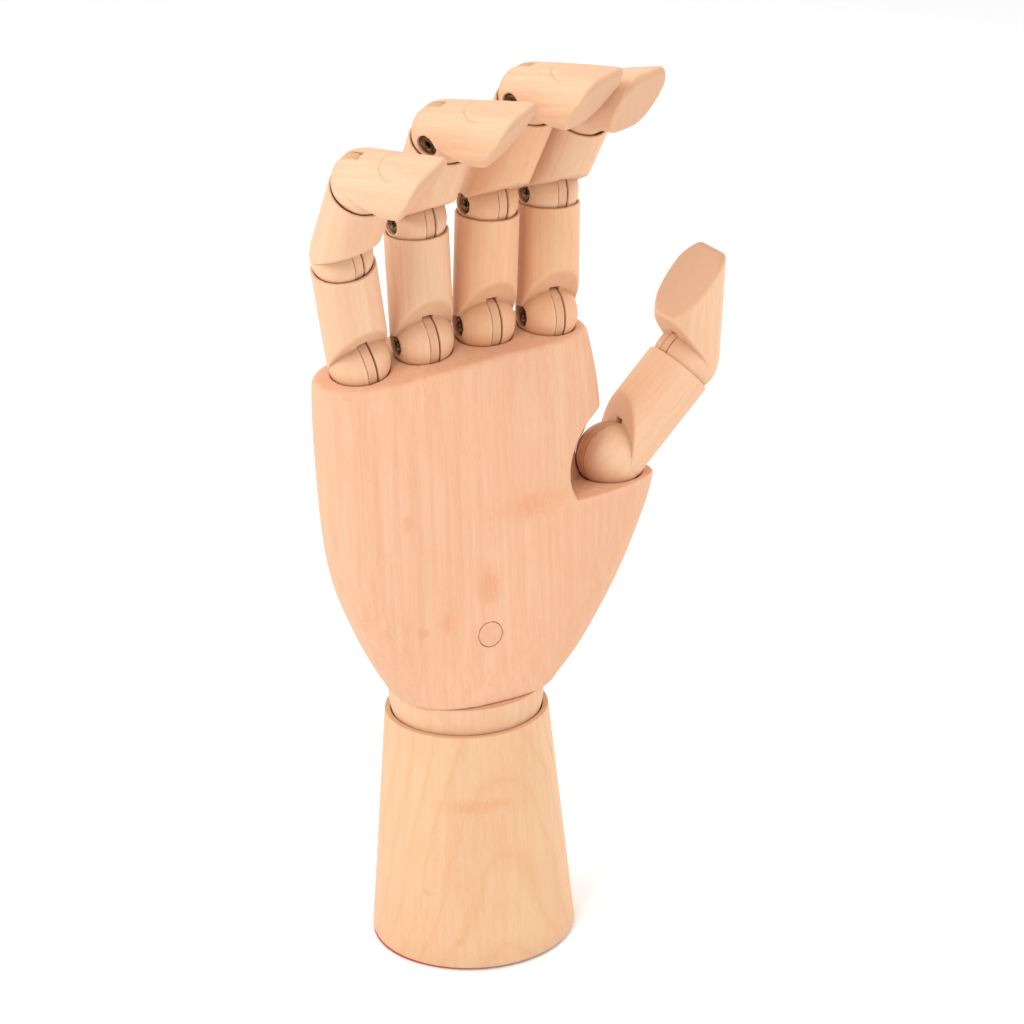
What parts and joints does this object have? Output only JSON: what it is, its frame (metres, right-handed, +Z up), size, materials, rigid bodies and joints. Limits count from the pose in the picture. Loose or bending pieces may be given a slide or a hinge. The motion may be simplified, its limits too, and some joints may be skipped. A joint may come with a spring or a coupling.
{
  "type": "jointed hand mannequin",
  "caption": "Artist's jointed wooden hand with bending fingers and thumb, swivelling fingertips and a ball wrist on a tapered round base.",
  "frame": {"origin": "on the base's axis, in the foot pad's flat underside", "axes": "+Z up along the base, -Y out of the palm, +X towards the thumb"},
  "size_m": [0.1417, 0.0984, 0.283],
  "materials": {
    "base_wood": "fine sanded, clear matt",
    "palm_wood": "fine sanded, clear matt",
    "finger_wood": "fine sanded, clear matt",
    "tongue_wood": "sanded",
    "brass": "plain",
    "steel": "plain",
    "felt": "red felt"
  },
  "bodies": {
    "base": {"foot_pad": "felt", "forearm_base": "base_wood"},
    "seat_washer": {"seat_washer": "steel"},
    "wrist": {"wrist_ball": "base_wood", "draw_rod": "steel", "tension_spring": "steel", "rod_washer": "steel", "rod_nut": "steel"},
    "palm": {"palm_block": "palm_wood", "palm_plug": "palm_wood", "barrel_nut": "steel", "pinky_proximal_tongue": "tongue_wood", "ring_proximal_tongue": "tongue_wood", "middle_proximal_tongue": "tongue_wood", "index_proximal_tongue": "tongue_wood", "thumb_proximal_tongue": "tongue_wood"},
    "pinky_proximal": {"pinky_proximal": "finger_wood", "pinky_proximal_pin": "brass", "pinky_middle_tongue": "tongue_wood"},
    "pinky_middle": {"pinky_middle": "finger_wood", "pinky_middle_pin": "brass"},
    "pinky_tip_swivel": {"pinky_tip_tongue": "tongue_wood"},
    "pinky_tip": {"pinky_tip": "finger_wood", "pinky_tip_pin": "brass"},
    "ring_proximal": {"ring_proximal": "finger_wood", "ring_proximal_pin": "brass", "ring_middle_tongue": "tongue_wood"},
    "ring_middle": {"ring_middle": "finger_wood", "ring_middle_pin": "brass"},
    "ring_tip_swivel": {"ring_tip_tongue": "tongue_wood"},
    "ring_tip": {"ring_tip": "finger_wood", "ring_tip_pin": "brass"},
    "middle_proximal": {"middle_proximal": "finger_wood", "middle_proximal_pin": "brass", "middle_middle_tongue": "tongue_wood"},
    "middle_middle": {"middle_middle": "finger_wood", "middle_middle_pin": "brass"},
    "middle_tip_swivel": {"middle_tip_tongue": "tongue_wood"},
    "middle_tip": {"middle_tip": "finger_wood", "middle_tip_pin": "brass"},
    "index_proximal": {"index_proximal": "finger_wood", "index_proximal_pin": "brass", "index_middle_tongue": "tongue_wood"},
    "index_middle": {"index_middle": "finger_wood", "index_middle_pin": "brass"},
    "index_tip_swivel": {"index_tip_tongue": "tongue_wood"},
    "index_tip": {"index_tip": "finger_wood", "index_tip_pin": "brass"},
    "thumb_proximal": {"thumb_proximal": "finger_wood", "thumb_proximal_pin": "brass"},
    "thumb_tip_swivel": {"thumb_tip_tongue": "tongue_wood"},
    "thumb_tip": {"thumb_tip": "finger_wood", "thumb_tip_pin": "brass"}
  },
  "joints": [
    {"name": "wrist_lean", "type": "hinge", "parent": "base", "child": "seat_washer", "pos_m": [0, 0, 0.0826], "axis": [0, 1, 0], "range_deg": [-7, 7]},
    {"name": "wrist_bend", "type": "hinge", "parent": "seat_washer", "child": "wrist", "pos_m": [0, 0, 0.0826], "axis": [1, 0, 0], "range_deg": [-7, 7]},
    {"name": "wrist_turn", "type": "hinge", "parent": "wrist", "child": "palm", "pos_m": [0, 0, 0.0826], "axis": [0, 0, 1], "continuous": true},
    {"name": "pinky_knuckle", "type": "hinge", "parent": "palm", "child": "pinky_proximal", "pos_m": [-0.031, 0, 0.1938], "axis": [0.9744, 0, 0.225], "range_deg": [-18, 59]},
    {"name": "pinky_middle_joint", "type": "hinge", "parent": "pinky_proximal", "child": "pinky_middle", "pos_m": [-0.03926, -0.00984, 0.22956], "axis": [0.9533, 0.1511, 0.2616], "range_deg": [-33, 32]},
    {"name": "pinky_twist", "type": "hinge", "parent": "pinky_middle", "child": "pinky_tip_swivel", "pos_m": [-0.0428, -0.03554, 0.25733], "axis": [0.0933, 0.6764, -0.7306], "range_deg": [-14.5, 36]},
    {"name": "pinky_end_joint", "type": "hinge", "parent": "pinky_tip_swivel", "child": "pinky_tip", "pos_m": [-0.0428, -0.03554, 0.25733], "axis": [0.8464, 0.3325, 0.416], "range_deg": [-55, 16]},
    {"name": "ring_knuckle", "type": "hinge", "parent": "palm", "child": "ring_proximal", "pos_m": [-0.0104, 0, 0.1967], "axis": [0.9986, 0, 0.0523], "range_deg": [-7, 70]},
    {"name": "ring_middle_joint", "type": "hinge", "parent": "ring_proximal", "child": "ring_middle", "pos_m": [-0.01238, -0.00265, 0.23456], "axis": [0.9928, 0.1043, 0.0593], "range_deg": [-35.5, 45.5]},
    {"name": "ring_twist", "type": "hinge", "parent": "ring_middle", "child": "ring_tip_swivel", "pos_m": [-0.01203, -0.02266, 0.26388], "axis": [-0.0098, 0.5636, -0.826], "range_deg": [-10, 28]},
    {"name": "ring_end_joint", "type": "hinge", "parent": "ring_tip_swivel", "child": "ring_tip", "pos_m": [-0.01203, -0.02266, 0.26388], "axis": [0.8671, 0.4162, 0.2737], "range_deg": [-58, 13]},
    {"name": "middle_knuckle", "type": "hinge", "parent": "palm", "child": "middle_proximal", "pos_m": [0.01, 0, 0.1986], "axis": [0.9997, 0, -0.0262], "range_deg": [-7, 70]},
    {"name": "middle_middle_joint", "type": "hinge", "parent": "middle_proximal", "child": "middle_middle", "pos_m": [0.01099, -0.00265, 0.23649], "axis": [0.9944, 0.1043, -0.0187], "range_deg": [-34, 47]},
    {"name": "middle_twist", "type": "hinge", "parent": "middle_middle", "child": "middle_tip_swivel", "pos_m": [0.01404, -0.02541, 0.27166], "axis": [-0.0726, 0.542, -0.8372], "range_deg": [-2, 16]},
    {"name": "middle_end_joint", "type": "hinge", "parent": "middle_tip_swivel", "child": "middle_tip", "pos_m": [0.01404, -0.02541, 0.27166], "axis": [0.9284, 0.3435, 0.1419], "range_deg": [-57, 3]},
    {"name": "index_knuckle", "type": "hinge", "parent": "palm", "child": "index_proximal", "pos_m": [0.0311, 0, 0.1979], "axis": [0.9994, 0, -0.0349], "range_deg": [-3, 74]},
    {"name": "index_middle_joint", "type": "hinge", "parent": "index_proximal", "child": "index_middle", "pos_m": [0.03243, 0, 0.23588], "axis": [0.998, 0.0523, -0.0349], "range_deg": [-39, 42]},
    {"name": "index_twist", "type": "hinge", "parent": "index_middle", "child": "index_tip_swivel", "pos_m": [0.03446, -0.01954, 0.26484], "axis": [-0.0582, 0.5584, -0.8275], "range_deg": [-25, 1.5]},
    {"name": "index_end_joint", "type": "hinge", "parent": "index_tip_swivel", "child": "index_tip", "pos_m": [0.03446, -0.01954, 0.26484], "axis": [0.9588, 0.2621, 0.1094], "range_deg": [-48, 23]},
    {"name": "thumb_knuckle", "type": "hinge", "parent": "palm", "child": "thumb_proximal", "pos_m": [0.052, 0, 0.1484], "axis": [-0.0164, 0.9998, 0.006], "range_deg": [-22, 6]},
    {"name": "thumb_twist", "type": "hinge", "parent": "thumb_proximal", "child": "thumb_tip_swivel", "pos_m": [0.07933, 0.00029, 0.1748], "axis": [-0.7193, -0.0077, -0.6947], "range_deg": [-25, 30]},
    {"name": "thumb_end_joint", "type": "hinge", "parent": "thumb_tip_swivel", "child": "thumb_tip", "pos_m": [0.07933, 0.00029, 0.1748], "axis": [0.1129, -0.9879, -0.106], "range_deg": [-51, 30]}
  ]
}
